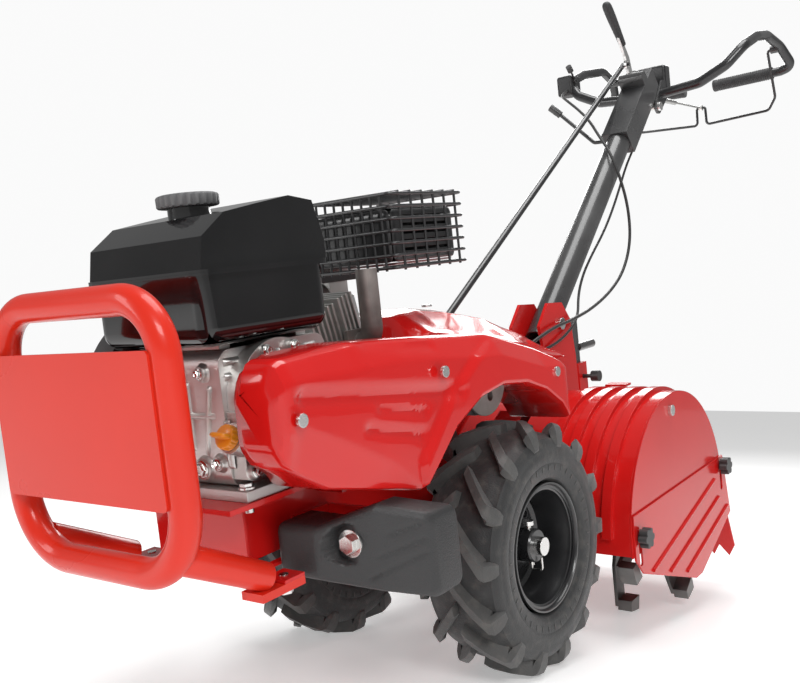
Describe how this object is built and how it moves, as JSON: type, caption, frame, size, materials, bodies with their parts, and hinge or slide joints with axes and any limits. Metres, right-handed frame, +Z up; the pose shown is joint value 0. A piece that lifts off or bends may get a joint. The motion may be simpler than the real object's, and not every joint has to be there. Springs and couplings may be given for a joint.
{
  "type": "rear-tine walk-behind tiller",
  "caption": "Walk-behind petrol tiller with front bumper and weights, belt-driven wheels, hooded rear tines and a tilting handlebar.",
  "frame": {"origin": "on the ground midway between the two driving tyres, straight below the wheel axle", "axes": "+X to the operator's left, +Y to the rear towards the handlebar, +Z up"},
  "size_m": [0.542, 1.853, 1.2441],
  "materials": {
    "orange_paint": "glossy",
    "red_paint": "glossy",
    "black_paint": "satin",
    "cast_black": "rough cast, painted",
    "gear_casting": "painted casting",
    "aluminium": "as cast",
    "steel": "zinc plated",
    "exhaust_steel": "heat stained",
    "black_plastic": "matte",
    "tank_black": "glossy",
    "grey_plastic": "ribbed",
    "orange_plastic": "glossy",
    "red_cover": "glossy",
    "rubber": "matte",
    "tyre": "matte",
    "tine_steel": "worn black",
    "grip_rubber": "ribbed"
  },
  "bodies": {
    "chassis": {"bumper_frame": "orange_paint", "bumper_plate": "orange_paint", "engine_bed": "red_paint", "front_crossbeam": "red_paint", "front_weights": "cast_black", "frame_bolts": "steel", "crankcase": "aluminium", "crankcase_cover": "aluminium", "cylinder": "aluminium", "cylinder_head": "aluminium", "valve_cover": "steel", "exhaust_pipe": "exhaust_steel", "muffler": "black_paint", "muffler_guard": "black_paint", "blower_housing": "black_plastic", "air_cleaner": "black_plastic", "carburettor": "aluminium", "fuel_tank": "tank_black", "drive_belt": "rubber", "belt_cover": "red_cover", "top_cover": "red_cover", "cover_screws": "steel", "gear_case": "gear_casting", "tine_hood": "red_paint", "side_plates": "red_paint", "side_plate_knobs": "black_plastic", "handle_column": "black_paint", "column_bracket": "red_paint", "column_head": "black_paint", "throttle_cable": "rubber", "clutch_cable": "rubber"},
    "engine_shaft": {"crankshaft": "steel", "engine_pulley": "steel"},
    "input_drive": {"input_shaft": "steel", "driven_pulley": "steel"},
    "drive_wheels": {"wheel_axle": "steel", "wheel_rims": "black_paint", "tyres": "tyre", "hub_pins": "steel"},
    "tine_rotor": {"tine_shaft": "steel", "tines": "tine_steel"},
    "idler": {"idler_arm": "steel"},
    "flap": {"rear_flap": "red_paint"},
    "handle_frame": {"handlebar": "black_paint", "hand_grips": "grip_rubber", "throttle_housing": "black_plastic"},
    "bail": {"clutch_bail": "black_paint"},
    "bail_link": {"clutch_link": "steel"},
    "shifter": {"shift_lever": "steel", "shift_grip": "grip_rubber"},
    "rod": {"shift_rod": "black_paint"},
    "throttle": {"throttle_lever": "black_plastic"},
    "lock": {"lock_lever": "black_paint"},
    "pull_start": {"starter_grip": "black_plastic"},
    "cap": {"fuel_cap": "grey_plastic"},
    "dipstick": {"oil_filler_plug": "orange_plastic"},
    "stake": {"depth_stake": "black_paint"},
    "stake_screw": {"stake_latch": "black_plastic"},
    "left_side_guard": {"left_lower_plate": "red_paint"},
    "right_side_guard": {"right_lower_plate": "red_paint"}
  },
  "joints": [
    {"name": "input_spin", "type": "hinge", "parent": "chassis", "child": "input_drive", "pos_m": [0, -0.06033, 0.39697], "axis": [1, 0, 0], "continuous": true},
    {"name": "crank_spin", "type": "hinge", "parent": "chassis", "child": "engine_shaft", "pos_m": [0, -0.37697, 0.37871], "axis": [1, 0, 0], "continuous": true},
    {"name": "wheel_spin", "type": "hinge", "parent": "chassis", "child": "drive_wheels", "pos_m": [0, 0, 0.17], "axis": [1, 0, 0], "continuous": true},
    {"name": "tine_spin", "type": "hinge", "parent": "chassis", "child": "tine_rotor", "pos_m": [0, 0.41031, 0.17533], "axis": [1, 0, 0], "continuous": true},
    {"name": "flap_swing", "type": "hinge", "parent": "chassis", "child": "flap", "pos_m": [0, 0.59694, 0.27729], "axis": [1, 0, 0], "range_deg": [0, 60]},
    {"name": "handle_tilt", "type": "hinge", "parent": "chassis", "child": "handle_frame", "pos_m": [0, 0.87122, 1.0201], "axis": [1, 0, 0], "range_deg": [-10, 10], "deforming": ["throttle_cable"]},
    {"name": "bail_squeeze", "type": "hinge", "parent": "handle_frame", "child": "bail", "pos_m": [0, 1.17372, 1.20148], "axis": [1, 0, 0], "range_deg": [0, 12], "stiffness_Nm_per_rad": 2, "springref_deg": -20.05},
    {"name": "bail_link_turn", "type": "hinge", "parent": "bail", "child": "bail_link", "pos_m": [0, 1.23934, 1.11151], "axis": [1, 0, 0], "range_deg": [-12, 2]},
    {"name": "idler_swing", "type": "hinge", "parent": "chassis", "child": "idler", "pos_m": [0, -0.28789, 0.29389], "axis": [1, 0, 0], "range_deg": [0, 7.05]},
    {"name": "shift_swing", "type": "hinge", "parent": "chassis", "child": "shifter", "pos_m": [0, 0.88064, 1.10716], "axis": [1, 0, 0], "range_deg": [-15, 15]},
    {"name": "shift_rod_slide", "type": "slide", "parent": "chassis", "child": "rod", "axis": [0, -0.7523, -0.6588], "range_m": [-0.009, 0.009]},
    {"name": "throttle_swing", "type": "hinge", "parent": "handle_frame", "child": "throttle", "pos_m": [-0.1893, 0.9044, 1.13369], "axis": [1, 0, 0], "range_deg": [0, 55]},
    {"name": "lock_swing", "type": "hinge", "parent": "chassis", "child": "lock", "pos_m": [-0.035, 0.74107, 0.93125], "axis": [1, 0, 0], "range_deg": [0, 30]},
    {"name": "starter_pull", "type": "slide", "parent": "chassis", "child": "pull_start", "axis": [-0.36, -0.9188, -0.162], "range_m": [0, 0.45], "stiffness_N_per_m": 8, "springref_m": -0.25},
    {"name": "fuel_cap_turn", "type": "hinge", "parent": "chassis", "child": "cap", "pos_m": [0.006, -0.44495, 0.59723], "axis": [0, -0.1736, 0.9848], "range_deg": [0, 90]},
    {"name": "dipstick_turn", "type": "hinge", "parent": "chassis", "child": "dipstick", "pos_m": [0.084, -0.44703, 0.33091], "axis": [0, -0.9698, 0.2439], "range_deg": [0, 720]},
    {"name": "stake_slide", "type": "slide", "parent": "chassis", "child": "stake", "axis": [0, -0.1736, 0.9848], "range_m": [-0.02, 0.06]},
    {"name": "stake_screw_turn", "type": "hinge", "parent": "chassis", "child": "stake_screw", "pos_m": [-0.02, 0.60475, 0.40864], "axis": [1, 0, 0], "range_deg": [0, 180]},
    {"name": "left_guard_slide", "type": "slide", "parent": "chassis", "child": "left_side_guard", "axis": [0, -0.1736, 0.9848], "range_m": [0, 0.04]},
    {"name": "right_guard_slide", "type": "slide", "parent": "chassis", "child": "right_side_guard", "axis": [0, -0.1736, 0.9848], "range_m": [0, 0.04]}
  ],
  "couplings": [
    {"joint": "crank_spin", "follows": "input_spin", "ratio": 1.6299},
    {"joint": "bail_link_turn", "follows": "bail_squeeze", "ratio": -0.811},
    {"joint": "idler_swing", "follows": "bail_squeeze", "ratio": 0.5833},
    {"joint": "shift_rod_slide", "follows": "shift_swing", "m_per_rad": 0.0292}
  ]
}
